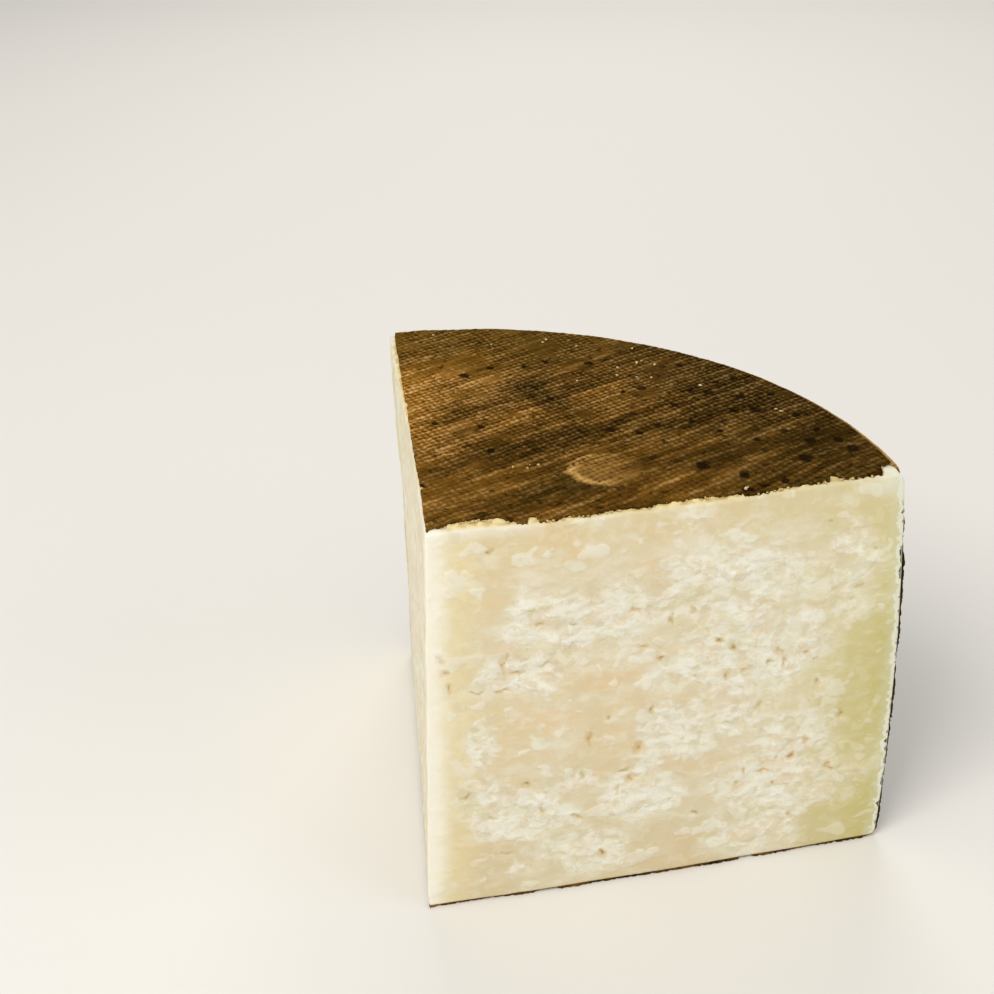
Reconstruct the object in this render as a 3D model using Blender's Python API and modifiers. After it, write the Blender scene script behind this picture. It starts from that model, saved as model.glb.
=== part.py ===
"""A wedge of aged sheep cheese, cut as a quarter from a low round wheel.

The wheel is a turned body with rounded rims and a side that bulges and flares a little
towards its foot. Two cuts that meet near its centre leave the wedge: the left one is
straight, and the front one swells a little towards its top edge. The cut faces are
crumbly: broken flakes, steps and small pits stand in relief, most of all in the patches
where the front cut is torn. The rind faces only undulate. Lengths are in metres, +Z is
up, and the origin is at the middle of the footprint, on the surface that the wedge
stands on.
"""

import math

import bmesh
import bpy
from mathutils import Vector, noise

# The wheel.
WHEEL_RADIUS = 0.0998  # at the top rim
HEIGHT = 0.100
FOOT_FLARE = 0.0018  # how much wider the wheel is at its foot
SIDE_BULGE = 0.0017  # extra radius at half height
TOP_RIM_ROUND = 0.0028
FOOT_RIM_ROUND = 0.0030

# The wedge. The front cut faces -Y, and the left cut faces -X.
NOSE = Vector((-0.0499, -0.0512))  # top of the thin edge where the two cuts meet
CENTRE = NOSE + Vector((0.0022, 0.0026))  # axis of the wheel
CUT_ANGLE = math.radians(85.9)  # from the front cut to the left cut
NOSE_LEAN = 0.0048  # how far the foot of the thin edge stands out past its top
LEAN_AT_RIND = 0.0012  # the same for the other upright edge of the left cut
FRONT_BULGE = 0.0017  # how far the front cut swells out at the middle of its top edge
FOOT_BULGE_SHARE = 0.35  # share of that swelling that is left at the foot
BULGE_RISE = (0.004, 0.028)  # right of the nose, where the swelling grows to its full height
BULGE_FALL = (0.094, 0.060)  # the same on its other side
BULGE_REACH = (0.016, 0.002)  # behind the front cut, where the swelling fades in

# Relief.
EDGE_BREAK = 0.0006  # how far the crumbled edges between faces fall back
FLAKE_SIZE = 0.0085  # width of one broken flake on a cut face
FLAKE_STRETCH = 1.7  # flakes are wider than they are high
FLAKE_DEPTH = 0.0011
PIT_SPACING = 0.017
PIT_REACH = 0.0030
PIT_DEPTH = 0.0014
SMOOTH_SHARE = 0.25  # share of the relief that is left where a cut is smooth
CUT_MEAN = 0.0004  # mean depth of the relief, so that the cuts keep their place
CUT_WAVE = 0.0005  # slow unevenness of the cuts
RIND_WAVE = 0.0004  # slow unevenness of the rind
WAVE_LENGTH = 0.026
TEAR_LENGTH = 0.021  # size of the torn patches on the left cut

# Torn patches of the front cut: right of the nose, height, half width, half height.
TORN_PATCHES = [
    (0.030, 0.074, 0.017, 0.010),
    (0.062, 0.079, 0.022, 0.009),
    (0.066, 0.060, 0.020, 0.012),
    (0.092, 0.075, 0.006, 0.013),
    (0.046, 0.027, 0.010, 0.010),
    (0.080, 0.024, 0.020, 0.014),
    (0.015, 0.029, 0.011, 0.006),
    (0.056, 0.043, 0.015, 0.008),
    (0.010, 0.045, 0.005, 0.006),
    (0.030, 0.010, 0.014, 0.007),
    (0.018, 0.062, 0.010, 0.005),
    (0.072, 0.008, 0.012, 0.006),
]

# Fineness.
TURN_STEPS = 96
SIDE_POINTS = 10
RIM_POINTS = 5
VOXEL = 0.0017
KEPT_SHARE = 0.21  # share of the fine triangles that is kept
FOOT_SPARE = 0.0012  # trimmed off below the flat foot
CUTTER_REACH = 0.16

PASTE_COLOUR = (0.80, 0.69, 0.45, 1.0)
PASTE_ROUGHNESS = 0.62


def clear_scene():
    for item in list(bpy.data.objects):
        bpy.data.objects.remove(item, do_unlink=True)


def new_collection(name, parent):
    made = bpy.data.collections.new(name)
    parent.children.link(made)
    return made


def new_object(name, mesh, collection):
    made = bpy.data.objects.new(name, mesh)
    collection.objects.link(made)
    return made


def cheese_material():
    material = bpy.data.materials.new("cheese_paste")
    material.use_nodes = True
    shader = material.node_tree.nodes["Principled BSDF"]
    shader.inputs["Base Color"].default_value = PASTE_COLOUR
    shader.inputs["Roughness"].default_value = PASTE_ROUGHNESS
    shader.inputs["Metallic"].default_value = 0.0
    return material


def side_radius(z):
    """Radius of the wheel's side at height z, rims left out."""
    share = min(max(z / HEIGHT, 0.0), 1.0)
    return WHEEL_RADIUS + FOOT_FLARE * (1 - share) + SIDE_BULGE * 4 * share * (1 - share)


def rim_arc(centre_r, centre_z, radius, start, end):
    """Points of a rim's rounding in the profile, from angle start to angle end."""
    step = (end - start) / RIM_POINTS
    angles = [start + step * i for i in range(RIM_POINTS + 1)]
    return [(centre_r + radius * math.cos(a), centre_z + radius * math.sin(a)) for a in angles]


def wheel_profile():
    """Half section of the wheel as (radius, height), from the top's middle to the foot's."""
    top_start = HEIGHT - TOP_RIM_ROUND
    foot_start = FOOT_RIM_ROUND - FOOT_SPARE
    points = [(0.0, HEIGHT)]
    top_centre = side_radius(top_start) - TOP_RIM_ROUND
    points += rim_arc(top_centre, top_start, TOP_RIM_ROUND, math.pi / 2, 0.0)
    for i in range(1, SIDE_POINTS):
        z = top_start + (foot_start - top_start) * i / SIDE_POINTS
        points.append((side_radius(z), z))
    foot_centre = side_radius(foot_start) - FOOT_RIM_ROUND
    points += rim_arc(foot_centre, foot_start, FOOT_RIM_ROUND, 0.0, -math.pi / 2)
    points.append((0.0, -FOOT_SPARE))
    return points


def turned_wheel(collection):
    mesh = bpy.data.meshes.new("wheel_profile")
    points = wheel_profile()
    edges = [(i, i + 1) for i in range(len(points) - 1)]
    mesh.from_pydata([(r, 0.0, z) for r, z in points], edges, [])
    wheel = new_object("wheel_blank", mesh, collection)
    wheel.location = (CENTRE.x, CENTRE.y, 0.0)
    screw = wheel.modifiers.new("Turn", "SCREW")
    screw.axis = "Z"
    screw.steps = TURN_STEPS
    screw.render_steps = TURN_STEPS
    screw.use_merge_vertices = True
    screw.merge_threshold = 1e-5
    return wheel


def cut_corners(lean_nose, lean_rind):
    """Plan of the space that the two cuts leave, seen from above, anticlockwise."""
    along = Vector((math.cos(CUT_ANGLE), math.sin(CUT_ANGLE)))
    reach_lean = lean_nose + (lean_rind - lean_nose) * CUTTER_REACH / WHEEL_RADIUS
    nose = NOSE - Vector((lean_nose, 0.0))
    rind_end = NOSE + along * CUTTER_REACH - Vector((reach_lean, 0.0))
    right = NOSE.x + CUTTER_REACH
    return [nose, Vector((right, NOSE.y)), Vector((right, rind_end.y)), rind_end]


def cut_space(collection):
    """Box with its corners moved to the two cuts, above and below the wheel."""
    low, high = -0.01, HEIGHT + 0.01
    plans = {}
    for z in (low, high):
        share = 1 - z / HEIGHT
        plans[z] = cut_corners(NOSE_LEAN * share, LEAN_AT_RIND * share)
    shape = bmesh.new()
    bmesh.ops.create_cube(shape, size=2.0)
    corner_of = {(-1, -1): 0, (1, -1): 1, (1, 1): 2, (-1, 1): 3}
    for vertex in shape.verts:
        signs = (round(vertex.co.x), round(vertex.co.y))
        z = high if vertex.co.z > 0 else low
        plan = plans[z][corner_of[signs]]
        vertex.co = (plan.x, plan.y, z)
    mesh = bpy.data.meshes.new("cut_space")
    shape.to_mesh(mesh)
    shape.free()
    cutter = new_object("cut_space", mesh, collection)
    cutter.hide_render = True
    cutter.display_type = "WIRE"
    return cutter


def baked(item, name):
    """A plain mesh of the object as its modifiers leave it, in world space."""
    graph = bpy.context.evaluated_depsgraph_get()
    graph.update()
    mesh = bpy.data.meshes.new_from_object(item.evaluated_get(graph))
    mesh.transform(item.matrix_world)
    mesh.name = name
    return mesh


def ramp(value, low, high):
    """Smooth step from 0 at low to 1 at high."""
    share = min(max((value - low) / (high - low), 0.0), 1.0)
    return share * share * (3 - 2 * share)


def flake_depth(point):
    """Depth of the broken flakes at a point: each flake is a slightly tilted step."""
    drift = noise.noise_vector(point / (FLAKE_SIZE * 1.3)) * FLAKE_SIZE * 0.35
    place = point + drift
    place.z *= FLAKE_STRETCH
    distances, centres = noise.voronoi(place / FLAKE_SIZE)
    step = 0.5 + 0.5 * noise.cell(centres[0] * 7.31)
    crack = 1 - ramp(distances[1] - distances[0], 0.0, 0.22)
    return FLAKE_DEPTH * (0.75 * step + 0.35 * crack)


def pit_depth(point):
    """Depth of the small pits, sparse and irregular."""
    distances, centres = noise.voronoi(point / PIT_SPACING)
    size = 0.45 + 0.55 * abs(noise.cell(centres[0] * 3.17))
    return PIT_DEPTH * (1 - ramp(distances[0] * PIT_SPACING, 0.0, PIT_REACH * size))


def slow_wave(point, height):
    return height * noise.noise(point / WAVE_LENGTH)


def torn_share(point):
    """How torn a cut face is at a point, from 0, smooth, to 1, crumbled."""
    patch = 0.0
    for right, height, half_width, half_height in TORN_PATCHES:
        sideways = (point.x - NOSE.x - right) / half_width
        upwards = (point.z - height) / half_height
        patch = max(patch, ramp(math.hypot(sideways, upwards), 1.5, 0.5))
    elsewhere = ramp(noise.noise(point / TEAR_LENGTH + Vector((5.1, 0.0, 2.3))), -0.35, 0.25)
    at_front = ramp(point.y - NOSE.y, 0.004, 0.001)
    return at_front * patch + (1 - at_front) * elsewhere


def cut_relief(point):
    """How far a point of a cut face lies behind the knife's plane."""
    crumbled = SMOOTH_SHARE + (1 - SMOOTH_SHARE) * torn_share(point)
    depth = crumbled * (flake_depth(point) + pit_depth(point))
    return depth + slow_wave(point, CUT_WAVE) - CUT_MEAN


def front_bulge(point):
    """How far the front cut swells out near a point."""
    right = point.x - NOSE.x
    hump = ramp(right, *BULGE_RISE) * ramp(right, *BULGE_FALL)
    height = FOOT_BULGE_SHARE + (1 - FOOT_BULGE_SHARE) * ramp(point.z, 0.0, HEIGHT)
    return FRONT_BULGE * hump * height * ramp(point.y - NOSE.y, *BULGE_REACH)


def cut_share(normal):
    """How much a point belongs to a cut face, from 0 on the rind to 1 on a cut."""
    left_normal = Vector((-math.sin(CUT_ANGLE), math.cos(CUT_ANGLE), 0.0))
    facing = max(normal.dot(Vector((0.0, -1.0, 0.0))), normal.dot(left_normal))
    return ramp(facing, 0.45, 0.9)


def relieved(mesh):
    """The mesh with the crumbled cuts and the undulating rind pressed into it."""
    shape = bmesh.new()
    shape.from_mesh(mesh)
    shape.normal_update()
    moves = []
    for vertex in shape.verts:
        cut = cut_share(vertex.normal)
        rind = slow_wave(vertex.co, RIND_WAVE)
        edge = EDGE_BREAK * 4 * cut * (1 - cut) * (0.5 + 0.5 * noise.noise(vertex.co / 0.004))
        depth = cut * cut_relief(vertex.co) + (1 - cut) * rind + edge
        moves.append(vertex.normal * -depth - Vector((0.0, front_bulge(vertex.co), 0.0)))
    for vertex, move in zip(shape.verts, moves):
        vertex.co += move
    shape.to_mesh(mesh)
    shape.free()


def flat_footed(mesh):
    """The mesh trimmed to a flat foot at height 0, closed by one face."""
    shape = bmesh.new()
    shape.from_mesh(mesh)
    bmesh.ops.bisect_plane(
        shape,
        geom=shape.verts[:] + shape.edges[:] + shape.faces[:],
        dist=1e-6,
        plane_co=(0, 0, 0),
        plane_no=(0, 0, 1),
        clear_inner=True,
    )
    rim = [edge for edge in shape.edges if edge.is_boundary]
    bmesh.ops.contextual_create(shape, geom=rim)
    bmesh.ops.recalc_face_normals(shape, faces=shape.faces[:])
    shape.to_mesh(mesh)
    shape.free()


def cheese_wedge(collection, helpers):
    """Wheel, cuts, even mesh, relief, thinned triangles and flat foot, in that order."""
    wheel = turned_wheel(helpers)
    cut = wheel.modifiers.new("Cuts", "BOOLEAN")
    cut.operation = "INTERSECT"
    cut.solver = "EXACT"
    cut.object = cut_space(helpers)
    even = wheel.modifiers.new("Even", "REMESH")
    even.mode = "VOXEL"
    even.voxel_size = VOXEL
    mesh = baked(wheel, "cheese_wedge")
    relieved(mesh)

    wedge = new_object("cheese_wedge", mesh, collection)
    thin = wedge.modifiers.new("Thin", "DECIMATE")
    thin.ratio = KEPT_SHARE
    thin.use_collapse_triangulate = True
    thinned = baked(wedge, "cheese_wedge_thinned")
    wedge.modifiers.remove(thin)
    flat_footed(thinned)
    wedge.data = thinned
    for helper in list(helpers.objects):
        bpy.data.objects.remove(helper, do_unlink=True)
    wedge.data.materials.append(cheese_material())
    wedge.data.shade_smooth()
    wedge.data.set_sharp_from_angle(angle=math.radians(40))
    return wedge


def main():
    clear_scene()
    scene_root = bpy.context.scene.collection
    parts = new_collection("aged_sheep_cheese_wedge", scene_root)
    helpers = new_collection("helpers", scene_root)
    cheese_wedge(parts, helpers)
    bpy.data.collections.remove(helpers)


main()
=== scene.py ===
"""The looks of the aged sheep cheese wedge.

The wedge stands as in the solid: the front cut faces -Y, the left cut faces -X, and the
round rind side faces +X and +Y. The paste is one closed body. The rind is three closed
skins on it, for the top, the round side and the foot. Lengths are in metres, +Z is up.
"""

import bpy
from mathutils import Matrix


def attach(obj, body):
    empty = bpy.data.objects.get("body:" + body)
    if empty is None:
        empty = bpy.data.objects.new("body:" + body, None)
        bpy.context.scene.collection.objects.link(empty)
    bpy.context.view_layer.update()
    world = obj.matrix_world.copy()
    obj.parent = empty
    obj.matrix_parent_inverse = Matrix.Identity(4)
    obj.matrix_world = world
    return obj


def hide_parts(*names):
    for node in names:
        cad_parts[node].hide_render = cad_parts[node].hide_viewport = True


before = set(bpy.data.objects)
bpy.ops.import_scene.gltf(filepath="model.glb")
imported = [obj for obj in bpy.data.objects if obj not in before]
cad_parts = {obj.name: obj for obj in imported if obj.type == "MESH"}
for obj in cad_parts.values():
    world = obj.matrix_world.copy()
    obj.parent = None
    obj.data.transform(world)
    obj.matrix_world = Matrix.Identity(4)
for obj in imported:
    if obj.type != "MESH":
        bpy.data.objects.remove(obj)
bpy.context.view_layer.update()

import contextlib
import functools
import itertools
import math

import bmesh
import bpy
import numpy as np
from mathutils import Matrix, Vector

NODE = "cheese_wedge"

# The wheel and the two cuts, as in the solid.
WHEEL_RADIUS = 0.0998
HEIGHT = 0.100
FOOT_FLARE = 0.0018
SIDE_BULGE = 0.0017
TOP_RIM_ROUND = 0.0028
FOOT_RIM_ROUND = 0.0030
NOSE = np.array([-0.0499, -0.0512])
CENTRE = NOSE + np.array([0.0022, 0.0026])
CUT_ANGLE = math.radians(85.9)
NOSE_LEAN = 0.0048
LEAN_AT_RIND = 0.0012
LEAN_REACH = 0.16
FRONT_BULGE = 0.0017  # of the front cut, at the middle of its top edge
LEFT_BULGE = 0.0009  # of the left cut, at the far end of its top edge

# Rind.
RIND = 0.0006  # thickness
SINK = 0.00015  # how far the rind's hidden faces reach into the paste
PRINT_ANGLE = math.radians(22.5)  # of the mat's rows on the top, from +X
PRINT_PITCH = 0.00146
PRINT_DEPTH = 0.00020
RIM_INSET = 0.0034  # from the wheel's edge to the flat skins of the top and the foot
SHARP_ANGLE = math.radians(60)  # edges that turn more than this are shaded sharp

# Fineness, and the lengths it is counted over.
CUT_LENGTH = 0.100
ARC_LENGTH = 0.157
FRONT_STEP = 0.00045
LEFT_STEP = 0.00070
ARC_STEP = 0.0060
ROW_STEP = 0.00046
TOP_STEP = 0.00030
FOOT_STEP = 0.00050
SIDE_STEP = 0.00055

# Camera.
PHOTO_SIDE = 994
FOCAL_PIXELS = 1606.0
CAMERA_PLACE = (-0.08276, -0.32554, 0.26229)
CAMERA_HEADING = 0.1719
CAMERA_PITCH = 0.512
CAMERA_ROLL = -0.0389
SENSOR = 36.0


# ---------------------------------------------------------------- random fields

def ramp(value, low, high):
    """Smooth step from 0 at low to 1 at high."""
    share = np.clip((value - low) / (high - low), 0.0, 1.0)
    return share * share * (3 - 2 * share)


def cell_random(cells, seed):
    """A repeatable random number from 0 to 1 for each whole-number cell."""
    mixed = cells[..., 0] * 374761393 + cells[..., 1] * 668265263
    mixed = (mixed + cells[..., 2] * 982451653 + seed * 1274126177) & 0xFFFFFFFF
    mixed = ((mixed ^ (mixed >> 13)) * 1274126177) & 0xFFFFFFFF
    mixed = ((mixed ^ (mixed >> 16)) * 668265263) & 0xFFFFFFFF
    return ((mixed ^ (mixed >> 15)) & 0xFFFFFF) / 0xFFFFFF


def wave(points, size, seed=0):
    """Smooth random field, about -1 to 1, with lumps about one size wide."""
    places = points / size
    cells = np.floor(places).astype(np.int64)
    offset = places - cells
    blend = offset * offset * offset * (offset * (offset * 6 - 15) + 10)
    total = np.zeros(len(points))
    for corner in itertools.product((0, 1), repeat=3):
        corner = np.array(corner)
        weight = np.prod(np.where(corner == 1, blend, 1 - blend), axis=1)
        here = cells + corner
        slope = np.stack([cell_random(here, seed * 3 + k) for k in range(3)], axis=1) * 2 - 1
        total += weight * np.sum(slope * (offset - corner), axis=1)
    return 1.6 * total


def waves(points, size, seeds):
    """Waves side by side, to shift the points by."""
    return np.column_stack([wave(points, size, seed) for seed in seeds])


def rough(points, size, octaves, seed=0, fall=0.5):
    """Waves of halving size added up."""
    total = np.zeros(len(points))
    for octave in range(octaves):
        total += fall**octave * wave(points, size / 2**octave, seed + 11 * octave)
    return total


def grains(points, size, seed=0):
    """Distance to the nearest strewn point, in sizes, and its random number."""
    places = points / size
    cells = np.floor(places).astype(np.int64)
    nearest = np.full(len(points), 9.0)
    name = np.zeros(len(points))
    for step in itertools.product((-1, 0, 1), repeat=3):
        here = cells + np.array(step)
        spot = here + np.stack([cell_random(here, seed * 5 + k) for k in range(3)], axis=1)
        far = np.linalg.norm(spot - places, axis=1)
        closer = far < nearest
        name = np.where(closer, cell_random(here, seed * 5 + 3), name)
        nearest = np.where(closer, far, nearest)
    return nearest, name


# ---------------------------------------------------------------- the wedge's form

def side_radius(z):
    share = np.clip(z / HEIGHT, 0.0, 1.0)
    return WHEEL_RADIUS + FOOT_FLARE * (1 - share) + SIDE_BULGE * 4 * share * (1 - share)


def paste_radius(z):
    """Radius of the paste inside the rind, which is rounded at both rims."""
    for rim, beyond in ((TOP_RIM_ROUND, z - HEIGHT), (FOOT_RIM_ROUND, -z)):
        rise = beyond + rim
        if rise > 0:
            return side_radius(z) - rim + math.sqrt(max((rim - RIND) ** 2 - rise**2, 0.0))
    return side_radius(z) - RIND


def front_bulge(points):
    """How far the front cut stands out from its plane at points near it."""
    right = points[:, 0] - NOSE[0]
    hump = ramp(right, 0.004, 0.028) * ramp(right, 0.094, 0.060)
    height = 0.35 + 0.65 * ramp(points[:, 2], 0.0, HEIGHT)
    near = ramp(behind_front(points), 0.016, 0.002)
    return FRONT_BULGE * hump * height * near


def left_bulge(points):
    """How far the left cut stands out from its plane, near the rind at the top."""
    reach = ramp(behind_front(points), 0.030, 0.085)
    near = ramp(points[:, 0] - NOSE[0], 0.020, 0.008)
    return LEFT_BULGE * reach * near * ramp(points[:, 2], 0.045, 0.095)


def nose_at(z):
    """Plan of the thin edge between the cuts at height z, or at several."""
    down = 1 - np.asarray(z) / HEIGHT
    return NOSE - np.multiply.outer(down, [NOSE_LEAN, 0.0])


def left_cut(z):
    """Plan of the left cut at height z: where it starts at the nose, and its direction."""
    down = 1 - z / HEIGHT
    reach_lean = NOSE_LEAN + (LEAN_AT_RIND - NOSE_LEAN) * LEAN_REACH / WHEEL_RADIUS
    nose = nose_at(z)
    far = NOSE + LEAN_REACH * np.array([math.cos(CUT_ANGLE), math.sin(CUT_ANGLE)])
    far = far - np.array([reach_lean * down, 0.0])
    return nose, (far - nose) / np.linalg.norm(far - nose)


def front_end(radius, chip=0.0):
    """Angle round the wheel's centre at which a circle is chip behind the front cut."""
    return math.asin((NOSE[1] + chip - CENTRE[1]) / radius)


def left_end(z, radius, chip=0.0):
    """The same for the left cut."""
    nose, along = left_cut(z)
    inward = np.array([along[1], -along[0]])
    turn = math.atan2(inward[1], inward[0])
    return turn + math.acos((chip - (CENTRE - nose) @ inward) / radius)


def behind_front(points):
    """How far points are behind the front cut's plane."""
    return points[:, 1] - NOSE[1]


def on_circle(radius, angles):
    return CENTRE + radius * np.stack([np.cos(angles), np.sin(angles)], axis=-1)


# ---------------------------------------------------------------- relief of the cuts

# Marks of the front cut, all in millimetres: right of the nose, above the foot, half
# width, half height, and for some how far they lean to the right for each one of height.
TORN = [
    (30, 74, 17, 10), (62, 79, 22, 9), (66, 60, 20, 12), (92, 75, 6, 13), (46, 27, 10, 10),
    (80, 24, 20, 14), (15, 29, 11, 6), (56, 43, 15, 8), (10, 45, 5, 6), (30, 10, 14, 7),
    (18, 62, 10, 5), (72, 8, 12, 6), (20, 21, 11, 5),
]
SMOOTH = [
    (22, 92, 18, 6), (34, 47, 12, 13), (56, 31, 8, 4), (17, 44, 5, 13), (86, 47, 7, 5),
    (12, 78, 7, 8), (45, 91, 12, 5), (52, 12, 8, 6), (90, 8, 7, 5),
]
CAPS = [
    (10, 84, 3.2, 1.8), (9.5, 94.5, 2.2, 1.7), (19, 91.5, 2.6, 1.8), (25, 92.5, 2.2, 1.2),
    (34, 91, 2.6, 1.5), (26, 77, 2.8, 2.8), (36.5, 75.5, 3.6, 3.0), (42, 70.5, 2.8, 4.0),
    (26.5, 70, 3.4, 3.2), (45, 62.7, 1.9, 1.7), (45.5, 55.8, 2.1, 1.5), (34.5, 61.5, 0.8, 1.7),
    (38, 57.6, 1.8, 0.9), (19, 60.3, 3.4, 1.5), (23.5, 61.7, 2.0, 1.3), (10.5, 62, 2.3, 2.2),
    (8.5, 55.5, 1.8, 1.6), (15, 53, 1.6, 1.1), (11.5, 46, 1.4, 3.4, -0.4), (9, 43.5, 1.6, 1.6),
    (26, 46.5, 1.3, 1.1), (22, 44, 2.1, 1.3), (18, 41, 1.3, 1.0), (45, 47, 1.7, 1.6),
    (23, 35, 1.6, 1.2), (29, 34.6, 1.2, 1.4), (33, 33, 1.4, 2.6), (34, 31, 2.6, 1.5),
    (19.5, 28.5, 4.0, 2.6), (10, 30.5, 3.6, 2.6), (27.5, 22, 4.2, 2.0), (45, 27, 4.4, 1.7),
    (47.5, 22, 4.2, 2.8), (54.5, 83.5, 2.6, 2.6), (61, 81, 4.0, 3.0), (68.5, 84, 4.6, 3.2),
    (65, 91, 3.4, 1.1), (75.3, 84.2, 1.0, 1.0), (92, 84, 2.8, 4.4), (91.5, 75.5, 3.0, 2.8),
    (94.5, 66.5, 2.8, 2.8), (98.5, 82.5, 1.0, 1.6), (99.3, 66.5, 1.0, 0.6), (71, 63, 4.0, 2.2),
    (84, 66, 3.0, 2.0), (89, 45.5, 4.0, 3.6), (79, 55, 2.5, 1.4), (57, 34, 2.4, 1.4),
    (70, 21.5, 2.2, 1.2), (79, 19, 3.8, 1.6), (94, 23, 2.4, 2.0), (86, 34, 1.8, 1.2),
    (67, 38, 2.5, 1.0), (57, 58, 3.0, 1.6), (66, 50, 3.4, 1.4), (5, 88, 1.6, 3.0),
    (33, 12, 3.2, 1.8), (17, 9, 2.4, 1.6), (62, 12, 3.4, 1.6), (76, 7, 2.6, 1.6),
]
CRACKS = [
    (1.3, 68.5, 1.0, 1.7, -0.2), (2.5, 65, 0.6, 0.9), (3.2, 61, 0.8, 1.9),
    (14.8, 65.5, 0.6, 2.6, 0.2), (18, 62.8, 2.0, 0.5), (24, 64.3, 1.8, 0.6), (15, 58.4, 2.4, 0.5),
    (8.5, 58.8, 2.0, 0.4), (33.2, 43.2, 0.8, 2.4), (44.3, 38.4, 1.5, 1.6), (42.6, 30.3, 1.4, 0.9),
    (39.3, 27.5, 0.7, 1.1), (30.2, 21, 1.5, 1.0), (22.2, 24.5, 0.8, 1.6), (10.8, 24, 1.1, 0.6),
    (5, 31.3, 1.2, 0.8, 0.3), (19, 32.2, 0.9, 0.5), (22.5, 75, 0.8, 0.8), (43, 75.3, 1.4, 0.8),
    (51, 71.5, 0.6, 1.8), (49, 62, 0.8, 0.5), (47.2, 48.5, 0.5, 1.4), (37.5, 48, 0.5, 1.2),
    (31.2, 33, 0.5, 1.6), (12.6, 93.5, 0.6, 0.9), (41, 32.6, 1.3, 0.4),
    (56.3, 73.2, 1.1, 1.4, -0.3), (64.8, 62.2, 1.0, 1.1), (61.8, 64.4, 1.1, 0.4),
    (76, 59, 0.8, 1.6, -0.3), (77.2, 56, 0.7, 1.6), (73.8, 56.3, 0.9, 0.9), (67.8, 55.5, 0.9, 0.6),
    (64.2, 54.8, 0.7, 1.8), (82, 57.5, 1.0, 0.5), (84.5, 55, 1.4, 0.4), (85.5, 48.6, 0.9, 0.8),
    (87.6, 50.2, 0.9, 0.4), (72, 44.8, 0.8, 1.5), (91.5, 38.6, 0.8, 1.8), (83.5, 33, 0.8, 1.5),
    (80.3, 28.7, 0.9, 1.4), (76.8, 28.8, 0.7, 0.9), (73.5, 26, 1.9, 0.4), (69.2, 26.8, 0.6, 1.2),
    (67.3, 23.8, 0.7, 0.7), (76.5, 21.5, 1.0, 0.6), (90, 24, 0.6, 2.2, -0.5),
    (93.5, 72.5, 1.5, 0.6), (92, 69.6, 0.8, 0.5), (86, 90.5, 0.9, 0.5), (96.5, 82, 0.6, 0.8),
    (29.6, 74, 0.8, 0.5), (45, 65.3, 1.6, 0.7), (36, 9, 0.8, 1.4), (58, 17, 1.3, 0.5),
    (81, 11, 0.9, 1.1), (14, 13, 1.4, 0.5),
]
# Layers of flakes, largest first: size, how far it is held back, height, tone and how strong.
FLAKES = [
    (0.0130, 0.06, 0.00013, (237, 232, 212), 0.56),
    (0.0075, 0.08, 0.00011, (240, 236, 218), 0.52),
    (0.0048, 0.12, 0.00009, (243, 239, 223), 0.40),
    (0.0030, 0.18, 0.00006, (246, 243, 230), 0.28),
]
FLAKE_FLATNESS = np.array([1.0, 1.0, 1.45])  # flakes are this much wider than high


def from_nose(points):
    """Millimetres right of the nose, behind it and above the foot."""
    return (points - np.array([*NOSE, 0.0])).T * 1000


def inside_marks(points, places, strewn=None):
    """1 in the middle of a mark, 0 on its outline, less than 0 outside.

    The places are those of the front cut. The left cut has strewn marks, if any.
    """
    x, y, z = from_nose(points)
    share = np.full(len(points), -1.0)
    for mark_x, mark_z, half_width, half_height, *lean in places:
        sideways = x - mark_x - sum(lean) * (z - mark_z)
        away = np.hypot(sideways / half_width, (z - mark_z) / half_height)
        share = np.maximum(share, 1 - away - 2 * ramp(y, 1.0, 4.0))
    return np.maximum(share, strewn_marks(points, *strewn)) if strewn else share


def strewn_marks(points, size, seed, share, low, high):
    """Random marks of the left cut, of radius low to high, in the terms of inside_marks."""
    places = points[:, 1:] / size
    cells = np.floor(places).astype(np.int64)
    draws = [cell_random(np.column_stack([cells, cells[:, 0]]), seed + k) for k in range(4)]
    away = places - cells - 0.3 - 0.4 * np.column_stack(draws[:2])
    marks = 1 - np.hypot(*away.T) * size / (low + (high - low) * draws[2])
    return np.where(draws[3] < share, marks, -1.0) - 2 * ramp(behind_front(points), 0.004, 0.001)


def torn_share(points):
    """How torn the paste is at points of the cuts, from 0, smooth, to 1, crumbled."""
    ragged = rough(points, 0.012, 3, seed=21)
    torn = ramp(inside_marks(points, TORN), -0.5, 0.5)
    smooth = ramp(inside_marks(points, SMOOTH), -0.5, 0.5)
    patches = 0.05 + 0.85 * torn - 0.60 * smooth
    anywhere = 0.30 + 0.40 * wave(points, 0.030, 25)
    front = ramp(behind_front(points), 0.004, 0.001)
    return np.clip(front * patches + (1 - front) * anywhere + 0.55 * ragged, 0, 1)


def flake_rise(points, torn, size, held_back, seed):
    """Random field of one layer of flakes, which lie where it is above 0."""
    drift = waves(points, size * 0.5, range(seed + 1, seed + 4))
    places = (points + 0.15 * size * drift) * FLAKE_FLATNESS
    return rough(places, size, 2, seed=seed, fall=0.45) - (0.50 - 0.50 * torn + held_back)


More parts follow.
